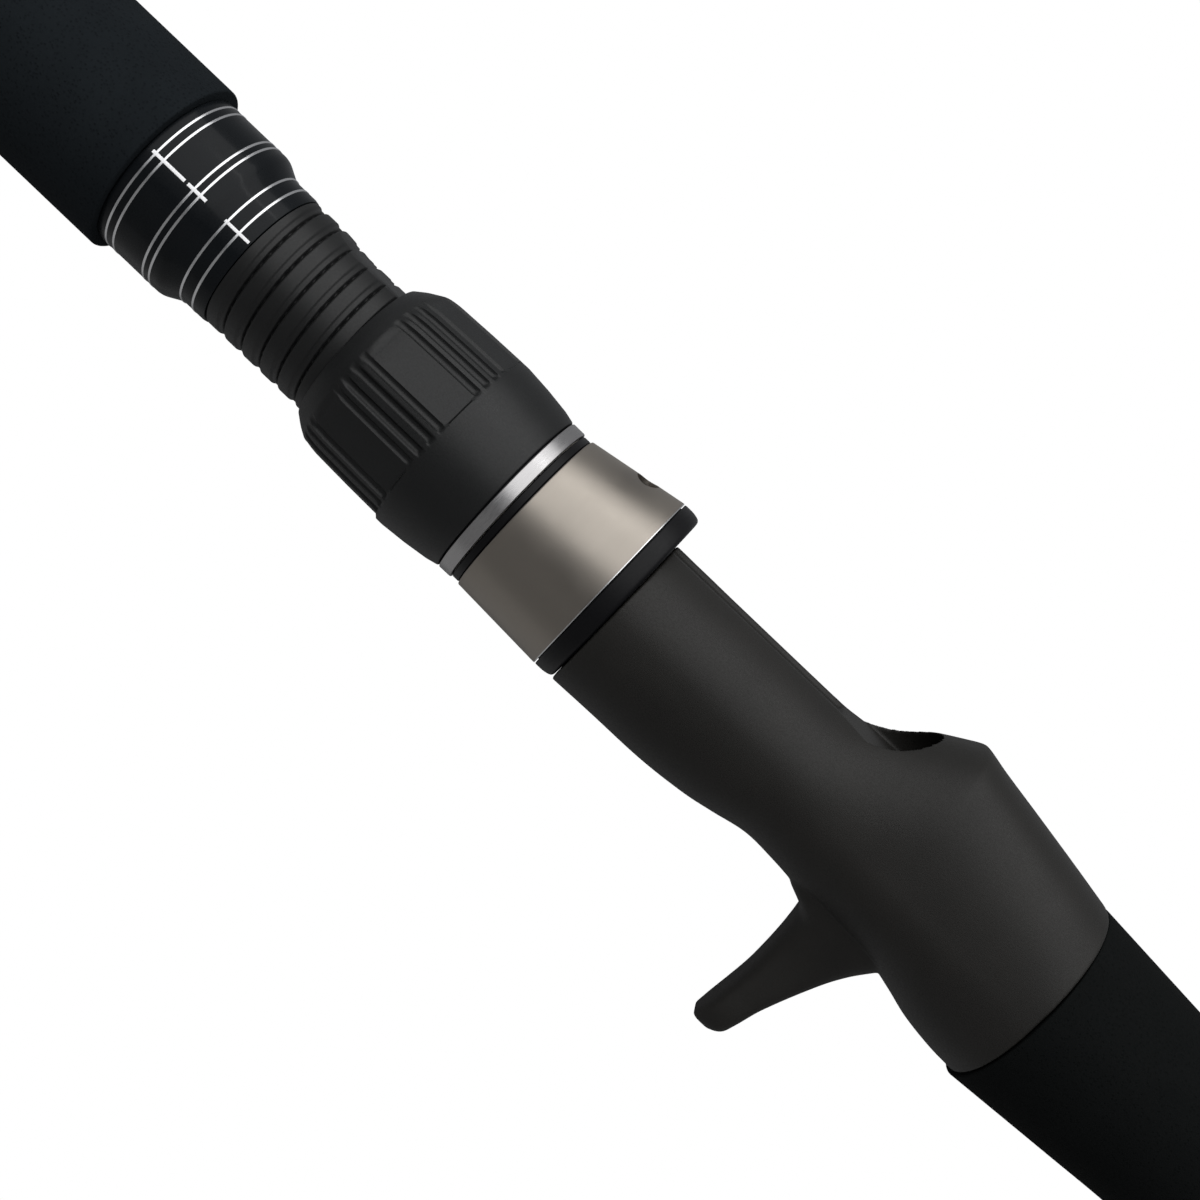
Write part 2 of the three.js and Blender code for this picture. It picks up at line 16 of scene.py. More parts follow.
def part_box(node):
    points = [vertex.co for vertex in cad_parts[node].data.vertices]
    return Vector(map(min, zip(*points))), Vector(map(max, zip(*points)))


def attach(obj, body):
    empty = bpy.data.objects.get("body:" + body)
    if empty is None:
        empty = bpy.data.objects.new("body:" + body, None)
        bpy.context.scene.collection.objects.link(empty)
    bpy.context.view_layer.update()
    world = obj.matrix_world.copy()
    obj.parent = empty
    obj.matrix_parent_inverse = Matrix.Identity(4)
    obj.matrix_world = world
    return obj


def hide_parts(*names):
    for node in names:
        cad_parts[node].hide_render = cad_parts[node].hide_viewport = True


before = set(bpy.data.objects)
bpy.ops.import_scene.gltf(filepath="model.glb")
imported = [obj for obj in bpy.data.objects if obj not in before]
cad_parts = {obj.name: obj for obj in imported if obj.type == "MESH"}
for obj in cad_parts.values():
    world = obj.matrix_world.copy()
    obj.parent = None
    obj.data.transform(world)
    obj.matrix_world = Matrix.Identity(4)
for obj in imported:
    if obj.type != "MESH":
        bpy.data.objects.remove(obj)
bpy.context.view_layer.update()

MM = 0.001
HANDLE = "handle"


def span(node):
    """Rear and front stations of a CAD node."""
    low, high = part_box(node)
    return -high.x / MM, -low.x / MM


# Stations and radii that come from the frame.
SEAT_REAR, BARREL_FRONT = span("reel_seat")
RIM_REAR, HOOD_FRONT = span("hood_insert")
SLEEVE_REAR, SLEEVE_FRONT = span("hood_sleeve")
NUT_REAR, NUT_FRONT = span("lock_nut")
CHECK_REAR, CHECK_FRONT = span("front_check")
BLANK_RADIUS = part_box("butt_section")[1].z / MM
BORE = BLANK_RADIUS + 0.15

# ---------------------------------------------------------------- mesh building


def smooth_profile(points):
    """A function through a few (station, value) points, smooth between them."""
    at = np.array([p[0] for p in points], float)
    value = np.array([p[1] for p in points], float)
    slope = np.empty_like(value)
    slope[1:-1] = (value[2:] - value[:-2]) / (at[2:] - at[:-2])
    slope[0] = (value[1] - value[0]) / (at[1] - at[0])
    slope[-1] = (value[-1] - value[-2]) / (at[-1] - at[-2])

    def profile(s):
        s = np.asarray(s, float)
        i = np.clip(np.searchsorted(at, s, side="right") - 1, 0, len(at) - 2)
        h = at[i + 1] - at[i]
        t = np.clip((s - at[i]) / h, 0, 1)
        return (
            (2 * t**3 - 3 * t**2 + 1) * value[i]
            + (t**3 - 2 * t**2 + t) * h * slope[i]
            + (3 * t**2 - 2 * t**3) * value[i + 1]
            + (t**3 - t**2) * h * slope[i + 1]
        )

    return profile


def linear_profile(points):
    """The same points joined by straight lines."""
    at, value = zip(*points)
    return lambda s: np.interp(s, at, value)


def rounded(corners, steps=5):
    """A closed outline of (station, radius) corners. A third number rounds that corner by so many mm."""
    count = len(corners)
    result = []
    for i, corner in enumerate(corners):
        here = np.array(corner[:2], float)
        if len(corner) < 3:
            result.append(here)
            continue
        before = np.array(corners[i - 1][:2], float) - here
        after = np.array(corners[(i + 1) % count][:2], float) - here
        reach = min(corner[2], 0.49 * np.linalg.norm(before), 0.49 * np.linalg.norm(after))
        start = here + before / np.linalg.norm(before) * reach
        end = here + after / np.linalg.norm(after) * reach
        for t in np.linspace(0, 1, steps + 1):
            result.append((1 - t) ** 2 * start + 2 * t * (1 - t) * here + t**2 * end)
    return np.array(result)


def mesh_object(name, vertices, faces, sharp=35):
    """A smooth-shaded object from millimetre points, with its faces turned outwards."""
    mesh = bpy.data.meshes.new(name)
    mesh.from_pydata((np.asarray(vertices, float) * MM).tolist(), [], faces)
    built = bmesh.new()
    built.from_mesh(mesh)
    bmesh.ops.remove_doubles(built, verts=built.verts, dist=1e-7)
    bmesh.ops.recalc_face_normals(built, faces=built.faces)
    built.to_mesh(mesh)
    built.free()
    obj = bpy.data.objects.new(name, mesh)
    bpy.context.scene.collection.objects.link(obj)
    shade(obj, sharp)
    return obj


def shade(obj, sharp=35):
    """Smooth shading, with edges sharper than so many degrees kept crisp."""
    obj.data.polygons.foreach_set("use_smooth", [True] * len(obj.data.polygons))
    obj.data.set_sharp_from_angle(angle=math.radians(sharp))


def grid_faces(rows, columns, wrap_rows=True):
    """Faces between the rows of a grid of points whose columns close on themselves."""
    faces = []
    for i in range(rows if wrap_rows else rows - 1):
        for j in range(columns):
            k, m = (i + 1) % rows, (j + 1) % columns
            faces.append((i * columns + j, k * columns + j, k * columns + m, i * columns + m))
    return faces


def around(stations, radii, angles):
    """Points at stations and radii (arrays), one row for each angle."""
    stations, radii = np.broadcast_arrays(stations, radii)
    if radii.ndim == 1:
        stations, radii = [np.tile(a, (len(angles), 1)) for a in (stations, radii)]
    turn = np.asarray(angles)[:, None]
    return np.stack([-stations, radii * np.sin(turn), radii * np.cos(turn)], -1)


def turned(name, outline, sides=128, shape=None, sharp=35):
    """A closed outline revolved about the rod's axis.

    shape(stations, radii, angle) may change the radii of the outline at that angle.
    """
    outline = np.asarray(outline, float)
    angles = np.arange(sides) * 2 * math.pi / sides
    radii = np.tile(outline[:, 1], (sides, 1))
    if shape is not None:
        radii = np.array([shape(outline[:, 0], outline[:, 1], a) for a in angles])
    points = around(np.tile(outline[:, 0], (sides, 1)), radii, angles)
    faces = grid_faces(sides, len(outline))
    return mesh_object(name, points.reshape(-1, 3), faces, sharp)


def oval(w, up, down, power, low_power, sides):
    """Points (y, z) of an oval of half-width w with its own height above and below."""
    t = np.arange(sides) * 2 * math.pi / sides
    c, s = np.cos(t), np.sin(t)
    n = np.where(s > 0, power, low_power)
    height = np.where(s > 0, up, down)
    return np.stack([w * np.sign(c) * np.abs(c) ** (2 / n), height * np.sign(s) * np.abs(s) ** (2 / n)], -1)


def skin(name, rings):
    """A closed mesh through rings of equal point counts, its two ends closed by a face each."""
    rings = np.asarray(rings, float)
    rows, columns = rings.shape[:2]
    faces = grid_faces(rows, columns, wrap_rows=False)
    faces.append(tuple(range(columns)))
    faces.append(tuple((rows - 1) * columns + j for j in reversed(range(columns))))
    return mesh_object(name, rings.reshape(-1, 3), faces)


def lofted(name, stations, section, sides=96, z=0.0):
    """A body through ovals along the rod; section(station) gives an oval's sizes."""
    rings = []
    for s in stations:
        yz = oval(*section(s), sides)
        rings.append(np.column_stack([np.full(sides, -s), yz[:, 0], yz[:, 1] + z]))
    return skin(name, rings)


def prism(name, outline, half_width):
    """An outline of (station, z) points extruded to both sides of the rod's middle plane."""
    rings = [[(-s, y, z) for s, z in outline] for y in (-half_width, half_width)]
    return skin(name, rings)


ASKEW = Vector((0.13, 0.99, 0.05))  # a direction that no wire follows


def wire(name, points, radius, sides=14, steps=24):
    """A round wire along a smooth curve through points (x, y, z)."""
    points = np.array(points, float)
    at = np.arange(len(points))
    curves = [smooth_profile(list(zip(at, points[:, k]))) for k in range(3)]
    t = np.linspace(0, len(points) - 1, steps)
    line = np.stack([curve(t) for curve in curves], -1)
    tangents = np.gradient(line, axis=0)
    rings = []
    for centre, tangent in zip(line, tangents):
        forward = Vector(tangent).normalized()
        side = forward.cross(ASKEW).normalized()
        other = forward.cross(side)
        turn = np.arange(sides) * 2 * math.pi / sides
        side, other = np.array(side), np.array(other)
        rings.append([centre + radius * (math.cos(a) * side + math.sin(a) * other) for a in turn])
    return skin(name, rings)


def torus(name, station, z, major, minor, rings=72, sides=20):
    """A ring of round wire about an axis along X."""
    around_ring = np.arange(rings) * 2 * math.pi / rings
    around_tube = np.arange(sides) * 2 * math.pi / sides
    a, b = np.meshgrid(around_ring, around_tube, indexing="ij")
    r = major + minor * np.cos(b)
    points = np.stack([-station + minor * np.sin(b), r * np.sin(a), z + r * np.cos(a)], -1)
    return mesh_object(name, points.reshape(-1, 3), grid_faces(rings, sides))


def apply_modifiers(obj):
    bpy.context.view_layer.update()
    evaluated = obj.evaluated_get(bpy.context.evaluated_depsgraph_get())
    mesh = bpy.data.meshes.new_from_object(evaluated)
    old = obj.data
    obj.modifiers.clear()
    obj.data = mesh
    bpy.data.meshes.remove(old)


def combine(obj, tool, operation):
    """Joins or cuts obj with a tool piece and throws the tool away."""
    modifier = obj.modifiers.new(operation, "BOOLEAN")
    modifier.operation = operation
    modifier.solver = "EXACT"
    modifier.object = tool
    apply_modifiers(obj)
    mesh = tool.data
    bpy.data.objects.remove(tool)
    bpy.data.meshes.remove(mesh)


def cut(obj, *tools):
    for tool in tools:
        combine(obj, tool, "DIFFERENCE")


def join(obj, *tools):
    for tool in tools:
        combine(obj, tool, "UNION")


def melt(obj, voxel, passes):
    """Remeshes a piece evenly and softens its edges, as a moulding's or a casting's are."""
    remesh = obj.modifiers.new("even", "REMESH")
    remesh.mode = "VOXEL"
    remesh.voxel_size = voxel * MM
    soften = obj.modifiers.new("soften", "SMOOTH")
    soften.factor = 0.5
    soften.iterations = passes
    apply_modifiers(obj)
    shade(obj, 80)


def finish_piece(obj, body, slot, material, *nodes):
    """Gives a piece its material and its body, and hides the CAD nodes that it stands for. The slot is not
    used.
    """
    obj.data.materials.clear()
    obj.data.materials.append(material)
    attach(obj, body)
    if nodes:
        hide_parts(*nodes)


# ---------------------------------------------------------------- materials


class Nodes:
    """A material's node tree, with short ways to add what the finishes share."""

    def __init__(self, name, color, roughness, metallic=0.0, specular=0.5):
        self.material = bpy.data.materials.new(name)
        self.material.use_nodes = True
        self.tree = self.material.node_tree
        self.shader = self.tree.nodes["Principled BSDF"]
        self.set("Base Color", (*color, 1.0))
        self.set("Roughness", roughness)
        self.set("Metallic", metallic)
        self.set("Specular IOR Level", specular)
        self.place = self.add("ShaderNodeTexCoord").outputs["Object"]

    def set(self, socket, value):
        self.shader.inputs[socket].default_value = value

    def add(self, kind, **settings):
        node = self.tree.nodes.new(kind)
        for key, value in settings.items():
            setattr(node, key, value)
        return node

    def link(self, output, target):
        self.tree.links.new(output, target)

    def math(self, operation, a, b=None):
        node = self.add("ShaderNodeMath", operation=operation)
        for k, value in enumerate((a, b)):
            if value is None:
                continue
            if isinstance(value, (int, float)):
                node.inputs[k].default_value = value
            else:
                self.link(value, node.inputs[k])
        return node.outputs[0]

    def noise(self, scale, detail=2.0, stretch=(1, 1, 1)):
        """Noise with cells of about scale millimetres, stretched along each axis."""
        mapping = self.add("ShaderNodeMapping")
        mapping.inputs["Scale"].default_value = [1 / (scale * MM * k) for k in stretch]
        self.link(self.place, mapping.inputs["Vector"])
        noise = self.add("ShaderNodeTexNoise")
        noise.inputs["Scale"].default_value = 1.0
        noise.inputs["Detail"].default_value = detail
        self.link(mapping.outputs[0], noise.inputs["Vector"])
        return noise.outputs["Fac"]

    def cells(self, scale):
        """Distance to the middle of cells of about scale millimetres."""
        mapping = self.add("ShaderNodeMapping")
        mapping.inputs["Scale"].default_value = [1 / (scale * MM)] * 3
        self.link(self.place, mapping.inputs["Vector"])
        voronoi = self.add("ShaderNodeTexVoronoi")
        voronoi.inputs["Scale"].default_value = 1.0
        self.link(mapping.outputs[0], voronoi.inputs["Vector"])
        return voronoi.outputs["Distance"]

    def spread(self, value, low, high, from_low=0.3, from_high=0.7):
        """Maps a value from one range to another."""
        node = self.add("ShaderNodeMapRange")
        numbers = {"From Min": from_low, "From Max": from_high, "To Min": low, "To Max": high}
        for socket, number in numbers.items():
            node.inputs[socket].default_value = number
        self.link(value, node.inputs["Value"])
        return node.outputs[0]

    def color_between(self, value, dark, light):
        """Base colour from dark to light as a value goes from 0 to 1."""
        ramp = self.add("ShaderNodeValToRGB")
        ramp.color_ramp.elements[0].color = (*dark, 1)
        ramp.color_ramp.elements[1].color = (*light, 1)
        self.link(value, ramp.inputs["Fac"])
        self.link(ramp.outputs["Color"], self.shader.inputs["Base Color"])

    def roughness_between(self, value, low, high):
        self.link(self.spread(value, low, high), self.shader.inputs["Roughness"])

    def bump(self, *layers):
        """Bump of layers (height, millimetres), added one on another."""
        normal = None
        for height, depth in layers:
            bump = self.add("ShaderNodeBump")
            bump.inputs["Distance"].default_value = depth * MM
            bump.inputs["Strength"].default_value = 1.0
            self.link(height, bump.inputs["Height"])
            if normal is not None:
                self.link(normal, bump.inputs["Normal"])
            normal = bump.outputs["Normal"]
        self.link(normal, self.shader.inputs["Normal"])

    def coordinates(self):
        """The coordinates x, y and z on the object, in metres."""
        split = self.add("ShaderNodeSeparateXYZ")
        self.link(self.place, split.inputs[0])
        return split.outputs

    def screw(self, pitch):
        """A sawtooth from 0 to 1 that winds round the rod once each pitch millimetres."""
        x, y, z = self.coordinates()
        turn = self.math("DIVIDE", self.math("ARCTAN2", y, z), 2 * math.pi)
        return self.math("FRACT", self.math("ADD", self.math("DIVIDE", x, pitch * MM), turn))


def foam(name, dark, light):
    """Closed-cell foam: matt, with fine open pores and a cloudy skin."""
    m = Nodes(name, light, 0.9, specular=0.06)
    pores = m.cells(0.55)
    clouds = m.noise(7.0, 4.0)
    grain = m.noise(0.35, 3.0)
    tone = m.math("MULTIPLY", m.spread(pores, 0.35, 1.0, 0.05, 0.45), m.spread(clouds, 0.75, 1.0))
    m.color_between(tone, dark, light)
    m.roughness_between(grain, 0.82, 0.98)
    m.bump((clouds, 0.25), (m.spread(pores, 0, 1, 0.0, 0.35), 0.05), (grain, 0.03))
    return m.material


def moulded(name, color, roughness, grain_depth=0.018, specular=0.4):
    """Glass-filled moulding with a soft, fine-grained skin."""
    m = Nodes(name, color, roughness, specular=specular)
    grain = m.noise(0.22, 3.0)
    clouds = m.noise(9.0, 3.0)
    m.color_between(m.spread(clouds, 0.0, 1.0), [c * 0.85 for c in color], [c * 1.15 for c in color])
    m.roughness_between(grain, roughness - 0.06, roughness + 0.08)
    m.bump((clouds, 0.06), (grain, grain_depth))
    return m.material


def gunmetal():
    """Satin anodised aluminium, brushed round the rod."""
    m = Nodes("gunmetal", (0.37, 0.335, 0.295), 0.34, metallic=1.0)
    lines = m.noise(0.08, 2.0, stretch=(1, 60, 60))
    clouds = m.noise(5.0, 2.0)
    unevenness = m.math("ADD", m.math("MULTIPLY", lines, 0.5), m.math("MULTIPLY", clouds, 0.5))
    m.roughness_between(unevenness, 0.35, 0.47)
    m.bump((lines, 0.0025),)
    m.set("Anisotropic", 0.35)
    return m.material


def bright_metal(name, color, roughness):
    m = Nodes(name, color, roughness, metallic=1.0)
    lines = m.noise(0.06, 2.0, stretch=(1, 40, 40))
    m.roughness_between(lines, roughness - 0.05, roughness + 0.08)
    m.bump((lines, 0.002),)
    return m.material


def gloss_black():
    """Black under clear epoxy that flows a little unevenly."""
    m = Nodes("gloss_black", (0.0065, 0.008, 0.0095), 0.3, specular=0.1)
    flow = m.noise(4.0, 2.0)
    m.color_between(flow, (0.005, 0.0062, 0.0075), (0.008, 0.0098, 0.0118))
    m.roughness_between(m.noise(0.3, 1.0), 0.25, 0.35)
    m.set("Coat Weight", 0.13)
    m.set("Coat Roughness", 0.12)
    return m.material


TAPE_PITCH = 2.4


def carbon():
    """Clear-coated carbon tube with the fine screw ridges that its shrink tape leaves."""
    m = Nodes("carbon_blank", (0.012, 0.013, 0.015), 0.35)
    tape = m.math("SINE", m.math("MULTIPLY", m.screw(TAPE_PITCH), 2 * math.pi))
    fibres = m.noise(0.12, 3.0, stretch=(40, 1, 1))
    m.color_between(m.spread(fibres, 0.0, 1.0), (0.008, 0.009, 0.011), (0.03, 0.032, 0.036))
    m.roughness_between(fibres, 0.3, 0.45)
    m.bump((m.spread(tape, 0, 1, -1, 1), 0.03), (fibres, 0.01))
    m.set("Coat Weight", 0.8)
    m.set("Coat Roughness", 0.12)
    return m.material


THREAD_THICKNESS = 0.25


def whipping():
    """Thread wound side by side under epoxy."""
    m = Nodes("thread_wrap", (0.02, 0.02, 0.022), 0.4)
    x = m.coordinates()[0]
    thread = m.math("SINE", m.math("MULTIPLY", x, 2 * math.pi / (THREAD_THICKNESS * MM)))
    m.color_between(m.spread(thread, 0, 1, -1, 1), (0.008, 0.008, 0.009), (0.05, 0.05, 0.054))
    m.bump((m.spread(thread, 0, 1, -1, 1), 0.05),)
    m.set("Coat Weight", 1.0)
    m.set("Coat Roughness", 0.08)
    return m.material


def ceramic():
    m = Nodes("guide_ceramic", (0.05, 0.055, 0.06), 0.12)
    clouds = m.noise(0.8, 2.0)
    m.roughness_between(clouds, 0.08, 0.16)
    m.bump((clouds, 0.004),)
    return m.material


FOAM = foam("foam_front", (0.0055, 0.007, 0.0085), (0.0135, 0.0168, 0.0195))
REAR_FOAM = foam("foam_rear", (0.0035, 0.0042, 0.0042), (0.0066, 0.0074, 0.0074))
SEAT = moulded("graphite_seat", (0.0138, 0.0128, 0.0112), 0.54, specular=0.36)
NUT = moulded("nut_black", (0.0085, 0.009, 0.0092), 0.44, grain_depth=0.01)
BARREL = moulded("barrel_black", (0.008, 0.0083, 0.0084), 0.45, grain_depth=0.01)
RIM = moulded("rim_black", (0.004, 0.004, 0.0048), 0.4, grain_depth=0.006, specular=0.2)
GUNMETAL = gunmetal()
SILVER = bright_metal("silver_trim", (0.5, 0.49, 0.49), 0.3)
TRIM = bright_metal("trim_silver", (0.85, 0.85, 0.86), 0.25)
STEEL = bright_metal("guide_steel", (0.16, 0.16, 0.17), 0.3)
BLACK_METAL = bright_metal("black_aluminium", (0.03, 0.031, 0.034), 0.38)
GLOSS = gloss_black()
CARBON = carbon()
WRAP = whipping()
CERAMIC = ceramic()
RUBBER = moulded("seal_rubber", (0.01, 0.01, 0.01), 0.8)
NYLON = moulded("nylon", (0.6, 0.57, 0.5), 0.5)

# ---------------------------------------------------------------- reel seat

DECK_Z = 9.9
DECK_REAR = 219.0
BODY_BORE = 8.4
CHANNEL_HALF_WIDTH = 2.9  # of the shallow channel along the deck
CHANNEL_DEPTH = 0.6
BARREL_ROOT = 10.03
THREAD_CREST = 10.3
THREAD_PITCH = 3.1
THREAD_START = 281.0
THREAD_HALF_WIDTH = 0.75
THREAD_FLANK = 0.45
FOOT_GROOVE_HALF_WIDTH = 0.26  # of the fine groove at the foot of the thread's front flank
FOOT_GROOVE_DEPTH = 0.42
FLAT_Z = 9.3  # the flat along the barrel's reel side, which keeps the hood from turning
MOUTH_FLOOR_Z = 8.6  # the same flat, lower where the reel's foot lies under the hood
MOUTH_FLOOR_FRONT = 262
FLAT_FRONT = 306.0
FLAT_RUN_OUT = 5.0
KEY_HALF_WIDTH = 3.6

BODY_UP = smooth_profile([
    (180, 14.6), (186, 15.7), (194, 17.1), (201, 18.3), (204.9, 19.1), (205.5, 18.95), (207.5, 17.9),
    (210, 16.5), (213, 14.65), (216, 12.9), (218.5, 11.6), (221, 10.65), (226, 10.45), (240, 10.4),
    (248, 10.45), (251.4, 10.5),
])
BODY_POWER = smooth_profile([(180, 2.3), (188, 2.7), (203, 2.9), (210, 2.3), (216, 2.05), (251.4, 2.05)])
BODY_DOWN = smooth_profile([
    (180, 13.85), (184, 13.7), (189, 13.0), (193, 11.9), (197, 11.0), (204, 10.6), (210, 10.5),
    (215, 10.1), (220, 10.0), (225, 11.1), (229, 11.9), (236, 12.6), (245, 12.75), (251.4, 12.9),
])
BODY_HALF_WIDTH = smooth_profile([
    (180, 14.3), (190, 13.9), (200, 13.4), (207, 13.0), (214, 12.3), (222, 11.9), (236, 12.1), (251.4, 12.5),
])
POCKET_REAR = 190.6
POCKET_UP = smooth_profile([(190, 0.8), (197, 3.6), (206, 5.7), (214, 6.6), (DECK_REAR + 4, 7.2)])
POCKET_HALF_WIDTH = linear_profile([(191, 4.6), (195.4, 6.8)])

# The finger trigger's front and rear edges and half-width, by depth below the axis.
TRIGGER_TIP = 32.2
TRIGGER_FRONT = smooth_profile([
    (8, 214), (10.2, 211.8), (11.4, 209), (12.6, 207.9), (21.6, 207.2), (27, 207.5), (32.2, 208.1),
])
TRIGGER_REAR = smooth_profile([
    (8, 193.2), (11.3, 195.7), (14, 197.4), (17.1, 198.9), (25.1, 202), (29.4, 203.1), (30.9, 203.5),
    (31.7, 204.2), (32.2, 205.1),
])
TRIGGER_HALF_WIDTH = smooth_profile([
    (8, 7.8), (10, 7.3), (12, 6.5), (14, 5.8), (18, 4.9), (25, 4.5), (29, 4.4), (31.2, 3.7), (32.2, 2.9),
])
TRIGGER_POWER = 4


def trigger_tool():
    rings = []
    for depth in [*np.linspace(8, 30, 40), *np.linspace(30.4, TRIGGER_TIP, 10)]:
        front, rear = TRIGGER_FRONT(depth), TRIGGER_REAR(depth)
        width = float(TRIGGER_HALF_WIDTH(depth))
        ring = oval((front - rear) / 2, width, width, TRIGGER_POWER, TRIGGER_POWER, 64)
        rings.append(np.column_stack([-(front + rear) / 2 + ring[:, 0], ring[:, 1], np.full(64, -depth)]))
    return skin("trigger_tool", rings)


def bar(name, rear, front, radius, sides=96):
    turn = np.arange(sides) * 2 * math.pi / sides
    ring = [(radius * math.sin(a), radius * math.cos(a)) for a in turn]
    return skin(name, [[(-s, y, z) for y, z in ring] for s in (rear, front)])


def build_seat_body():
    body = lofted(
        "seat_body",
        np.linspace(SEAT_REAR, RIM_REAR - 0.05, 140),
        lambda s: (BODY_HALF_WIDTH(s), BODY_UP(s), BODY_DOWN(s), BODY_POWER(s), 2.15),
        200,
    )
    above_deck = prism("deck_tool", [
        (DECK_REAR + 1.5, DECK_Z), (RIM_REAR + 2, DECK_Z), (RIM_REAR + 2, 30), (214, 30), (214, 15),
    ], 20)
    pocket = lofted(
        "pocket_tool",
        [POCKET_REAR, POCKET_REAR + 0.2, *np.linspace(POCKET_REAR + 0.6, DECK_REAR + 3, 50)],
        lambda s: (float(POCKET_HALF_WIDTH(s)) * min(1, 0.6 + s - POCKET_REAR), POCKET_UP(s), 0.02, 2, 2),
        96,
        z=DECK_Z,
    )
    channel = prism("channel_tool", [
        (DECK_REAR + 3, DECK_Z - CHANNEL_DEPTH), (RIM_REAR + 2, DECK_Z - CHANNEL_DEPTH), (RIM_REAR + 2, 12),
        (DECK_REAR + 1, 12),
    ], CHANNEL_HALF_WIDTH)
    cut(body, above_deck, pocket, channel)
    join(body, trigger_tool())
    cut(body, bar("bore_tool", SEAT_REAR - 1, RIM_REAR + 1, BODY_BORE))
    melt(body, voxel=0.22, passes=6)
    finish_piece(body, HANDLE, "graphite_seat", SEAT, "reel_seat")


def thread_height(stations, angle):
    """The thread's height above the root: a flat crest, and a fine groove at its front flank's foot."""
    phase = ((stations - THREAD_START) / THREAD_PITCH - angle / (2 * math.pi) + 0.5) % 1.0
    off = (phase - 0.5) * THREAD_PITCH
    ridge = np.clip((THREAD_HALF_WIDTH + THREAD_FLANK - np.abs(off)) / THREAD_FLANK, 0, 1)
    ridge = ridge * ridge * (3 - 2 * ridge)
    groove = np.clip(1 - np.abs(off - THREAD_HALF_WIDTH - THREAD_FLANK) / FOOT_GROOVE_HALF_WIDTH, 0, 1)
    return (THREAD_CREST - BARREL_ROOT) * ridge - FOOT_GROOVE_DEPTH * groove


def build_barrel():
    """Barrel with its screw thread as a winding ridge, and the flat along its reel side."""
    rear = RIM_REAR - 0.02

    def threaded(stations, radii, angle):
        fade = np.clip((stations - THREAD_START + 4) / 2, 0, 1)
        return np.where(radii > BODY_BORE, radii + thread_height(stations, angle) * fade, radii)

    outline = [(s, BARREL_ROOT) for s in np.linspace(rear, THREAD_START - 5, 6)]
    outline += [(s, BARREL_ROOT) for s in np.linspace(THREAD_START - 4, BARREL_FRONT, 420)]
    outline += [(BARREL_FRONT, BORE), (rear, BORE)]
    barrel = turned("seat_barrel", outline, 144, threaded, sharp=50)
    flat = prism("flat_tool", [
        (rear - 1, MOUTH_FLOOR_Z), (MOUTH_FLOOR_FRONT, MOUTH_FLOOR_Z), (MOUTH_FLOOR_FRONT, FLAT_Z),
        (FLAT_FRONT, FLAT_Z), (FLAT_FRONT + FLAT_RUN_OUT, THREAD_CREST + 0.1),
        (FLAT_FRONT + FLAT_RUN_OUT, 20), (rear - 1, 20),
    ], 20)
    cut(barrel, flat)
    shade(barrel, 50)
    finish_piece(barrel, HANDLE, "graphite_seat", BARREL)


def build_arbors():
    for name in ("seat_arbor_rear", "seat_arbor_front"):
        rear, front = span(name)
        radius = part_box(name)[1].z / MM
        arbor = turned(name + "_piece", rounded([
            (rear, BORE), (rear, radius, 0.3), (front, radius, 0.3), (front, BORE),
        ]))
        finish_piece(arbor, HANDLE, "nylon", NYLON, name)


# ---------------------------------------------------------------- sliding hood

SLEEVE_WALL = 0.6
INSERT_BORE = 10.6
HOOD_UP = linear_profile([(RIM_REAR, 14.9), (SLEEVE_REAR, 14.9), (SLEEVE_FRONT, 12.5)])
HOOD_DOWN = linear_profile([(RIM_REAR, 13.1), (SLEEVE_REAR, 13.1), (SLEEVE_FRONT, 12.5)])
HOOD_HALF_WIDTH = linear_profile([(RIM_REAR, 13.0), (SLEEVE_REAR, 13.0), (SLEEVE_FRONT, 12.5)])
HOOD_POWER = 2.1
HOLE_STATION = 259.8
HOLE_HALF_LENGTH = 1.6
HOLE_HALF_WIDTH = 3.1
EDGE_WIDTH = 0.15  # of the bright line along the sleeve's rear


def hood_ring(s, inset, sides=192):
    """One oval of the hood's outside at a station, drawn in by an inset."""
    ring = oval(HOOD_HALF_WIDTH(s) - inset, HOOD_UP(s) - inset, HOOD_DOWN(s) - inset, HOOD_POWER, 2, sides)
    return np.column_stack([np.full(sides, -s), ring])


def hood_shell(name, outline, sides=192):
    """A closed (station, inset) outline carried round the hood's oval."""
    rings = np.array([hood_ring(s, inset, sides) for s, inset in outline])
    faces = grid_faces(len(outline), sides)
    return mesh_object(name, rings.reshape(-1, 3), faces)


def build_sleeve():
    """The satin metal shell with its oval hole, and the bright-cut edge along its rear."""
    rear, front = SLEEVE_REAR + EDGE_WIDTH, SLEEVE_FRONT
    surface = [(s, 0) for s in np.linspace(rear + 1, front - 1, 12)]
    outline = rounded([(rear, SLEEVE_WALL), (rear, 0), *surface, (front, 0, 0.18), (front, SLEEVE_WALL)], 4)
    sleeve = hood_shell("hood_sleeve_piece", outline)
    edge = hood_shell("hood_edge", rounded([
        (SLEEVE_REAR, SLEEVE_WALL), (SLEEVE_REAR, 0.03, 0.05), (rear, 0.0, 0.02), (rear, SLEEVE_WALL),
    ], 3))
    finish_piece(edge, "hood", "silver_trim", TRIM)
    turn = np.arange(64) * 2 * math.pi / 64
    ring = [(-HOLE_STATION + HOLE_HALF_LENGTH * math.cos(a), HOLE_HALF_WIDTH * math.sin(a)) for a in turn]
    hole = skin("hole_tool", [[(x, y, z) for x, y in ring] for z in (10, 18)])
    cut(sleeve, hole)
    shade(sleeve, 30)
    finish_piece(sleeve, "hood", "gunmetal", GUNMETAL, "hood_sleeve")


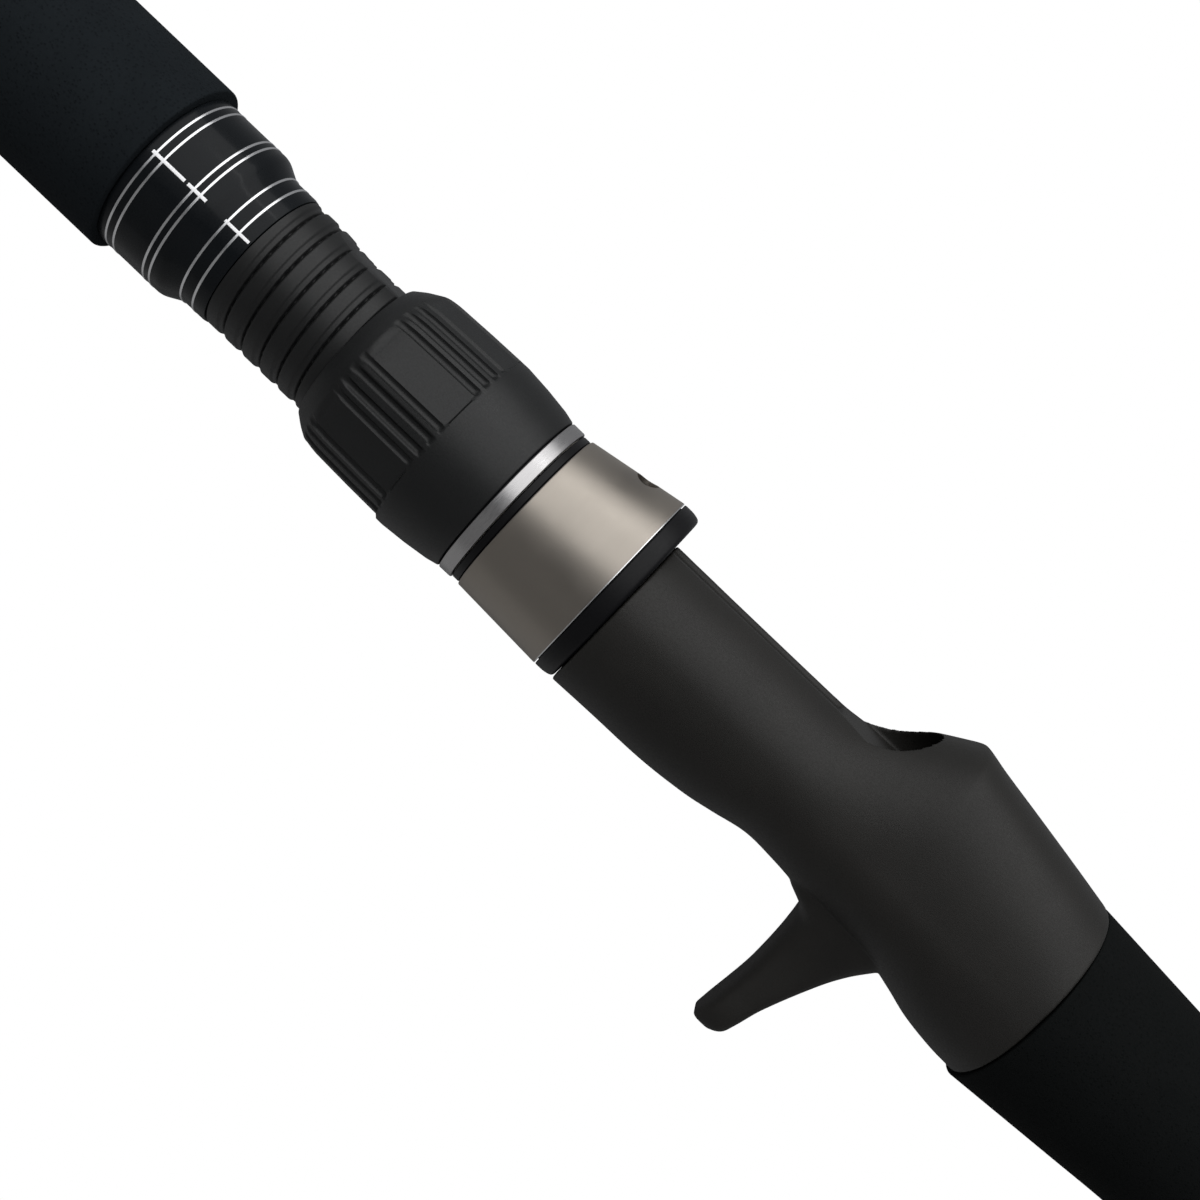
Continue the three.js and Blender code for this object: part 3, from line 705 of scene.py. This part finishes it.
def build_insert():
    """Black moulding inside the sleeve, with the rounded rim behind it and the collar before it."""
    inset = SLEEVE_WALL + 0.15
    rim_front = SLEEVE_REAR - 0.12
    outline = rounded([
        (RIM_REAR + 0.05, 1.7), (RIM_REAR + 0.05, 0.35, 0.8), (RIM_REAR + 1.3, 0.02, 0.6),
        (rim_front, 0.02, 0.25), (rim_front, inset), (SLEEVE_FRONT + 0.14, inset),
        (SLEEVE_FRONT + 0.14, 0.25, 0.2), (HOOD_FRONT, 0.25, 0.2), (HOOD_FRONT, 1.7),
    ], 6)
    shell = hood_shell("hood_insert_piece", outline)
    plug = lofted(
        "plug_tool",
        [RIM_REAR + 0.6, HOOD_FRONT - 0.02],
        lambda s: (HOOD_HALF_WIDTH(s) - 1.2, HOOD_UP(s) - 1.2, HOOD_DOWN(s) - 1.2, HOOD_POWER, 2),
        192,
    )
    pocket = lofted(
        "mouth_tool",
        [RIM_REAR - 1, SLEEVE_REAR, MOUTH_FLOOR_FRONT],
        lambda s: (11.2, 13.35 - max(0.0, s - SLEEVE_REAR) * 0.12, 10.6, 2.1, 2),
        128,
    )
    cut(plug, pocket, bar("insert_bore_tool", RIM_REAR - 1, HOOD_FRONT + 1, INSERT_BORE))
    join(shell, plug)
    key_rear, key_front = MOUTH_FLOOR_FRONT + 0.5, HOOD_FRONT - 0.5
    key = prism("key_tool", [
        (key_rear, FLAT_Z + 0.25), (key_front, FLAT_Z + 0.25), (key_front, 11.2), (key_rear, 11.2),
    ], KEY_HALF_WIDTH)
    join(shell, key)
    shade(shell, 40)
    finish_piece(shell, "hood", "graphite_seat", RIM, "hood_insert")


def build_washer():
    rear, front = span("thrust_washer")
    inner, outer = INSERT_BORE + 0.1, 11.6
    outline = rounded([(rear, inner), (rear, outer), (front, outer), (front, inner)])
    washer = turned("thrust_washer_piece", outline)
    finish_piece(washer, "hood", "nylon", NYLON, "thrust_washer")


# ---------------------------------------------------------------- lock nut

NUT_GROUPS = 7
NUT_GROOVES = 4
GROUP_ANGLE = math.radians(269)  # the middle of one group of grooves
GROOVE_PITCH = math.radians(8.1)
GROOVE_HALF_WIDTH = math.radians(2.5)
GROOVE_DEPTH = 0.5
GROOVE_REAR, GROOVE_FRONT = 281.7, 295.3
PAD_STEP = 0.1  # how deep the flat pads between the groups lie at their sides
NUT_BORE = 10.65


def nut_relief(stations, radii, angle):
    """How far the nut's surface is let in: fine grooves in groups, with flat pads between the groups."""
    group = 2 * math.pi / NUT_GROUPS
    inside = (angle - GROUP_ANGLE + group / 2) % group - group / 2
    middles = (np.arange(NUT_GROOVES) - (NUT_GROOVES - 1) / 2) * GROOVE_PITCH
    across = max(0.0, 1 - (np.min(np.abs(inside - middles)) / GROOVE_HALF_WIDTH) ** 2)
    from_rear, from_front = stations - GROOVE_REAR, GROOVE_FRONT - stations
    groove_ends = np.clip(from_rear / 0.7, 0, 1) * np.clip(from_front / 1.6, 0, 1)
    groove = GROOVE_DEPTH * math.sqrt(across) * np.sqrt(groove_ends)
    pad_half = (group - (NUT_GROOVES - 1) * GROOVE_PITCH) / 2
    from_pad = group / 2 - abs(inside)
    if from_pad > pad_half:
        return groove
    chord = radii - (radii * math.cos(pad_half) - PAD_STEP) / math.cos(from_pad)
    pad_ends = np.clip(from_rear / 0.2, 0, 1) * np.clip(from_front / 1.0, 0, 1)
    return np.maximum(groove, chord * pad_ends)


def build_nut():
    profile = rounded([
        (NUT_REAR, NUT_BORE), (NUT_REAR, 11.7), (271.85, 11.7), (271.95, 12.55, 0.2), (273.6, 12.95),
        (277, 13.4), (280.8, 13.72, 0.5), (281.4, 13.7), (282.2, 13.7), (287, 13.6), (292.8, 13.4, 0.8),
        (294.4, 13.15, 0.6), (296.6, 11.9, 0.5), (297.6, 11.15, 0.3), (NUT_FRONT, 10.85, 0.2),
        (NUT_FRONT, NUT_BORE),
    ], 5)
    dense = []
    for (s0, r0), (s1, r1) in zip(profile, [*profile[1:], profile[0]]):
        count = max(1, int(abs(s1 - s0) / 0.22)) if min(r0, r1) > 12 else 1
        dense += [(s0 + (s1 - s0) * k / count, r0 + (r1 - r0) * k / count) for k in range(count)]

    def grooved(stations, radii, angle):
        return radii - np.where(radii > 12, nut_relief(stations, radii, angle), 0)

    nut = turned("lock_nut_piece", dense, 720, grooved, sharp=50)
    finish_piece(nut, "nut", "nut_black", NUT, "lock_nut")

    rear, front = span("nut_trim_ring")
    ring = turned("nut_trim_ring_piece", rounded([
        (rear, 11.85), (rear, 12.52, 0.18), (front, 12.55, 0.18), (front, 11.85),
    ]), 192)
    finish_piece(ring, "nut", "silver_trim", SILVER, "nut_trim_ring")


# ---------------------------------------------------------------- winding checks and grips

CHECK_RADIUS = 11.9
CHECK_NECK = 10.5
RING_HALF_WIDTH = 0.17
RING_ON_FOOT = 5  # this ring lies where the neck's foot is rounded out to more than CHECK_SURFACE
FOOT_RISE = 0.1
CHECK_SURFACE = linear_profile([
    (CHECK_REAR, 10.4), (CHECK_REAR + 0.5, CHECK_NECK), (318.9, CHECK_NECK), (321.5, CHECK_RADIUS),
    (332, CHECK_RADIUS),
])
GLINT_ANGLE = math.radians(270 + 13)  # painted highlight: the silver bars that stand for glints along the check lie a little above the side that faces the camera
GLINT_HALF_ANGLE = 0.019
GLINT_SPANS = ((331.1, 325.7), (325.2, 322.1), (319.2, 315.2))


def build_check():
    check = turned("front_check_piece", rounded([
        (CHECK_REAR, BORE), (CHECK_REAR, 10.4, 0.1), (CHECK_REAR + 0.5, CHECK_NECK),
        (318.9, CHECK_NECK, 0.5), (321.5, CHECK_RADIUS, 0.7), (CHECK_FRONT, CHECK_RADIUS, 0.15),
        (CHECK_FRONT, BORE),
    ], 6), 192)
    finish_piece(check, HANDLE, "gloss_black", GLOSS, "front_check")
    for i in range(1, 7):
        name = f"trim_ring_{i}"
        middle = sum(span(name)) / 2
        rear, front = middle - RING_HALF_WIDTH, middle + RING_HALF_WIDTH
        radius = float(CHECK_SURFACE(middle)) + (FOOT_RISE if i == RING_ON_FOOT else 0)
        ring = turned(name + "_piece", rounded([
            (rear, radius - 0.3), (rear, radius + 0.05, 0.05), (front, radius + 0.05, 0.05),
            (front, radius - 0.3),
        ], 3), 192)
        finish_piece(ring, HANDLE, "silver_trim", TRIM, name)


def build_painted_glints():
    """Short silver bars across each pair of rings, on both sides of the rod: painted highlight, drawn as
    inlaid silver bars where glints of light lie along the glossy check.
    """
    for side, angle in (("near", GLINT_ANGLE), ("far", -GLINT_ANGLE)):
        angles = np.linspace(angle - GLINT_HALF_ANGLE, angle + GLINT_HALF_ANGLE, 5)
        for i, (front, rear) in enumerate(GLINT_SPANS, 1):
            stations = np.linspace(rear, front, 16)
            radii = CHECK_SURFACE(stations) + 0.06
            loop_s = np.concatenate([stations, stations[::-1]])
            loop_r = np.concatenate([radii, radii[::-1] - 0.25])
            rings = around(loop_s, loop_r, angles)
            # each bar is a painted highlight in silver trim
            glint_bar = skin(f"painted_glint_{side}_{i}", rings)
            finish_piece(glint_bar, HANDLE, "silver_trim", TRIM)


def build_foregrip():
    rear, front = span("foregrip")
    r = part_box("foregrip")[1].z / MM
    corners = [
        (rear, BORE), (rear, r, 0.35), *[(s, r) for s in np.linspace(rear + 4, 385, 30)], (398, r - 0.15),
        (408, r - 0.5), (415, r - 0.9), (421, r - 1.4), (425, r - 2.0, 1.0), (front, r - 2.9, 0.6),
        (front, BORE),
    ]
    grip = turned("foregrip_piece", rounded(corners), 192)
    finish_piece(grip, HANDLE, "foam_grip", FOAM, "foregrip")

    rear, front = span("foregrip_check")
    check = turned("foregrip_check_piece", rounded([
        (rear, BORE), (rear, 10.4, 0.2), (428.6, 10.6, 0.3), (430, 10.2, 0.6), (434, 8.7, 1.5),
        (front - 0.6, 7.9, 0.3), (front, 7.6, 0.15), (front, BORE),
    ]), 128)
    finish_piece(check, HANDLE, "black_aluminium", BLACK_METAL, "foregrip_check")


REAR_GRIP_RADIUS = smooth_profile([
    (15, 13.9), (40, 13.2), (75, 12.3), (110, 12.0), (140, 12.3), (154, 12.75), (163.5, 13.4),
    (179.8, 14.55),
])


def build_rear_grip():
    rear, front = span("rear_grip")
    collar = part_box("butt_collar")[1].z / MM + 0.15
    collar_front = span("butt_collar")[1] + 0.5
    surface = [(s, float(REAR_GRIP_RADIUS(s))) for s in np.linspace(rear + 1.5, front - 0.5, 90)]
    corners = [(rear, collar), (rear, 13.75, 0.6), *surface, (front, float(REAR_GRIP_RADIUS(front)), 0.3),
               (front, BORE), (collar_front, BORE), (collar_front, collar)]
    grip = turned("rear_grip_piece", rounded(corners), 192)
    finish_piece(grip, HANDLE, "foam_grip", REAR_FOAM, "rear_grip")


# ---------------------------------------------------------------- butt end

CAP_FRONT = 14.0
CAP_FLUTES = 28


def build_butt():
    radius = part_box("butt_cap")[1].z / MM
    spigot_front = span("butt_cap")[1]
    side = [(s, radius) for s in np.linspace(1.6, CAP_FRONT - 1.6, 40)]
    corners = [
        (0.0, 0.0), (0.0, 11.0), (0.35, 11.3, 0.2), (0.0, 11.6, 0.2), (0.0, radius - 0.6, 1.2),
        *side, (CAP_FRONT - 0.2, radius - 0.1, 1.0), (CAP_FRONT, radius - 1.4, 0.3),
        (CAP_FRONT, 5.0), (spigot_front - 0.6, 5.0, 0.3), (spigot_front, 4.4), (spigot_front, 0.0),
    ]

    def fluted(stations, radii, angle):
        across = 0.5 - 0.5 * math.cos(CAP_FLUTES * angle)
        band = np.clip((stations - 3.2) / 0.8, 0, 1) * np.clip((11.2 - stations) / 0.8, 0, 1)
        return radii - np.where(radii > radius - 0.2, 0.5 * across**2 * band, 0)

    cap = turned("butt_cap_piece", rounded(corners), 224, fluted, sharp=40)
    finish_piece(cap, "cap", "black_aluminium", BLACK_METAL, "butt_cap")

    seal = torus("cap_seal_piece", sum(span("cap_seal")) / 2, 0, 6.6, 0.55)
    finish_piece(seal, "cap_carrier", "seal_rubber", RUBBER, "cap_seal")

    rear, front = span("butt_collar")
    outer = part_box("butt_collar")[1].z / MM
    collar = turned("butt_collar_piece", rounded([
        (rear, 5.25, 0.2), (rear, outer, 0.3), (front, outer, 0.3), (front, 5.25),
    ]))
    finish_piece(collar, HANDLE, "black_aluminium", BLACK_METAL, "butt_collar")


# ---------------------------------------------------------------- blanks and guides


def build_blanks():
    tubes = (
        ("butt_section", HANDLE, 5.9),
        ("section_2_blank", "section_2", 4.7),
        ("section_3_blank", "section_3", 3.6),
    )
    for name, body, inner in tubes:
        rear, front = span(name)
        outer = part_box(name)[1].z / MM
        tube = turned(name + "_piece", rounded([
            (rear, inner), (rear, outer, 0.2), (front, outer, 0.25), (front, inner, 0.25),
        ]))
        finish_piece(tube, body, "carbon_blank", CARBON, name)
    rear, front = span("tip_blank")
    tip = turned("tip_blank_piece", rounded([
        (rear, 0), (rear, 3.3, 0.3), (rear + 20, 3.3), (front, 1.0, 0.3), (front, 0),
    ]), 64)
    finish_piece(tip, "tip_section", "carbon_blank", CARBON, "tip_blank")

    rear, front = span("butt_wrap")
    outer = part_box("butt_wrap")[1].z / MM
    wrap = turned("butt_wrap_piece", rounded([
        (rear, BORE), (rear, outer, 0.45), (front, outer, 0.45), (front, BORE),
    ]))
    finish_piece(wrap, HANDLE, "thread_wrap", WRAP, "butt_wrap")


# name, body, bore and wall of the collar, legs' height, and the ring's inner radius and station
GUIDES = (
    ("guide_1", HANDLE, 7.05, 0.9, 3.0, 4.2, 498.6),
    ("guide_2", "section_2", 5.75, 0.9, 2.6, 3.4, 510.6),
    ("guide_3", "section_3", 4.55, 0.85, 2.2, 2.8, 522.2),
    ("float_guide", "float_guide", 2.35, 0.8, 1.8, 2.4, 530.8),
    ("tip_top", "tip_section", 1.35, 0.8, 0.4, 2.2, 543.0),
)
WIRE_RADIUS = 0.65
HOLDER_WIRE_RADIUS = 0.5
RING_WIRE_RADIUS = 0.75


def build_guide(name, body, bore, wall, legs, ring_radius, ring_station):
    rear, front = span(name + "_frame")
    outer = bore + wall
    holder = ring_radius + 2 * RING_WIRE_RADIUS + 0.15 + HOLDER_WIRE_RADIUS
    centre = outer + holder + 0.5 + legs
    side_y = holder * math.sqrt(0.5)
    side_z = centre - side_y
    sunk = outer - 0.4
    far = rear + WIRE_RADIUS + 0.3
    piece = turned(name + "_frame_piece", rounded([
        (rear, bore), (rear, outer, 0.35), (front, outer, 0.35), (front, bore),
    ]), 72)
    bend = ring_station + (far - ring_station) * 0.35
    legs_made = [
        wire(f"leg_{side}", [
            (-ring_station, side * side_y, side_z),
            (-bend, side * side_y * 0.9, outer + (side_z - outer) * 0.45),
            (-far, side * 1.6, sunk),
        ], WIRE_RADIUS)
        for side in (1, -1)
    ]
    ends = [(-ring_station, 0, centre - holder), (-ring_station, 0, sunk)]
    post = wire("post", ends, WIRE_RADIUS, steps=6)
    hoop = torus("holder", ring_station, centre, holder, HOLDER_WIRE_RADIUS, 64, 14)
    join(piece, hoop, *legs_made, post)
    melt(piece, voxel=0.16, passes=3)
    finish_piece(piece, body, "guide_steel", STEEL, name + "_frame")
    middle = ring_radius + RING_WIRE_RADIUS
    ring = torus(name + "_ring_piece", ring_station, centre, middle, RING_WIRE_RADIUS)
    finish_piece(ring, body, "guide_ceramic", CERAMIC, name + "_ring")


# ---------------------------------------------------------------- stage

CAMERA_TILT = math.radians(10)  # how far the camera stands above the rod's axis
CAMERA_ROLL = math.radians(43.6)  # how far the rod slopes down across the picture
CAMERA_DISTANCE = 243.6
CAMERA_STATION = 253.8
AXIS_OFFSET = 1.47  # the rod's axis lies this far above the picture's middle
LENS = 57.0
FLOOR_Z = -300
FLOOR_HALF = 4000
LIGHT_X = -0.2  # in metres


def make_camera():
    towards = Vector((0, -math.cos(CAMERA_TILT), math.sin(CAMERA_TILT)))
    upward = Vector((0, math.sin(CAMERA_TILT), math.cos(CAMERA_TILT)))
    along = Vector((1, 0, 0))
    right = math.cos(CAMERA_ROLL) * along + math.sin(CAMERA_ROLL) * upward
    up = -math.sin(CAMERA_ROLL) * along + math.cos(CAMERA_ROLL) * upward
    target = Vector((-CAMERA_STATION, 0, 0)) - AXIS_OFFSET * upward
    place = (target + CAMERA_DISTANCE * towards) * MM
    data = bpy.data.cameras.new("camera")
    data.lens = LENS
    data.sensor_width = 36
    data.clip_start = 0.01
    camera = bpy.data.objects.new("camera", data)
    bpy.context.scene.collection.objects.link(camera)
    rotation = Matrix((right, up, towards)).transposed().to_4x4()
    camera.matrix_world = Matrix.Translation(place) @ rotation
    bpy.context.scene.camera = camera


def soft_light(name, elevation, distance, length, height, radiance):
    """A panel of even brightness, at so many degrees above -Y as seen from the rod. Sizes are in metres."""
    data = bpy.data.lights.new(name, "AREA")
    data.shape = "RECTANGLE"
    data.size = length
    data.size_y = height
    data.energy = radiance * math.pi * length * height
    light = bpy.data.objects.new(name, data)
    bpy.context.scene.collection.objects.link(light)
    turn = math.radians(elevation)
    light.location = (LIGHT_X, -distance * math.cos(turn), distance * math.sin(turn))
    light.rotation_euler = (math.radians(90) - turn, 0, 0)
    light.visible_camera = False


def split_rays(tree, output_kind, seen, unseen):
    """Shows one shader to the camera and the other to every other ray."""
    output = tree.nodes.new(output_kind)
    mix = tree.nodes.new("ShaderNodeMixShader")
    path = tree.nodes.new("ShaderNodeLightPath")
    tree.links.new(path.outputs["Is Camera Ray"], mix.inputs["Fac"])
    tree.links.new(unseen.outputs[0], mix.inputs[1])
    tree.links.new(seen.outputs[0], mix.inputs[2])
    tree.links.new(mix.outputs[0], output.inputs["Surface"])


def make_stage():
    """White behind the rod for the camera, a dim world and a grey floor for other rays, and the lights."""
    world = bpy.data.worlds.new("world")
    bpy.context.scene.world = world
    world.use_nodes = True
    nodes = world.node_tree.nodes
    nodes.clear()
    seen, unseen = nodes.new("ShaderNodeBackground"), nodes.new("ShaderNodeBackground")
    seen.inputs["Color"].default_value = (1, 1, 1, 1)
    unseen.inputs["Color"].default_value = (0.95, 0.97, 1.0, 1)
    unseen.inputs["Strength"].default_value = 0.25
    split_rays(world.node_tree, "ShaderNodeOutputWorld", seen, unseen)

    corners = [(x * FLOOR_HALF, y * FLOOR_HALF, FLOOR_Z) for x, y in ((-1, -1), (1, -1), (1, 1), (-1, 1))]
    floor = mesh_object("floor", corners, [(0, 1, 2, 3)])
    material = bpy.data.materials.new("floor")
    material.use_nodes = True
    nodes = material.node_tree.nodes
    nodes.clear()
    glow, matt = nodes.new("ShaderNodeEmission"), nodes.new("ShaderNodeBsdfDiffuse")
    matt.inputs["Color"].default_value = (0.25, 0.25, 0.25, 1)
    split_rays(material.node_tree, "ShaderNodeOutputMaterial", glow, matt)
    floor.data.materials.append(material)

    bpy.context.scene.view_settings.view_transform = "Standard"
    soft_light("key", 54, 0.8, 1.6, 1.35, 1.25)
    soft_light("strip", 68, 0.6, 0.6, 0.03, 3)
    soft_light("fill", -105, 0.27, 1.2, 0.3, 0.12)


make_camera()
make_stage()
build_seat_body()
build_barrel()
build_arbors()
build_sleeve()
build_insert()
build_washer()
build_nut()
build_check()
# painted highlight: silver bars for the glints of light along the check
build_painted_glints()
build_foregrip()
build_rear_grip()
build_butt()
build_blanks()
for guide in GUIDES:
    build_guide(*guide)
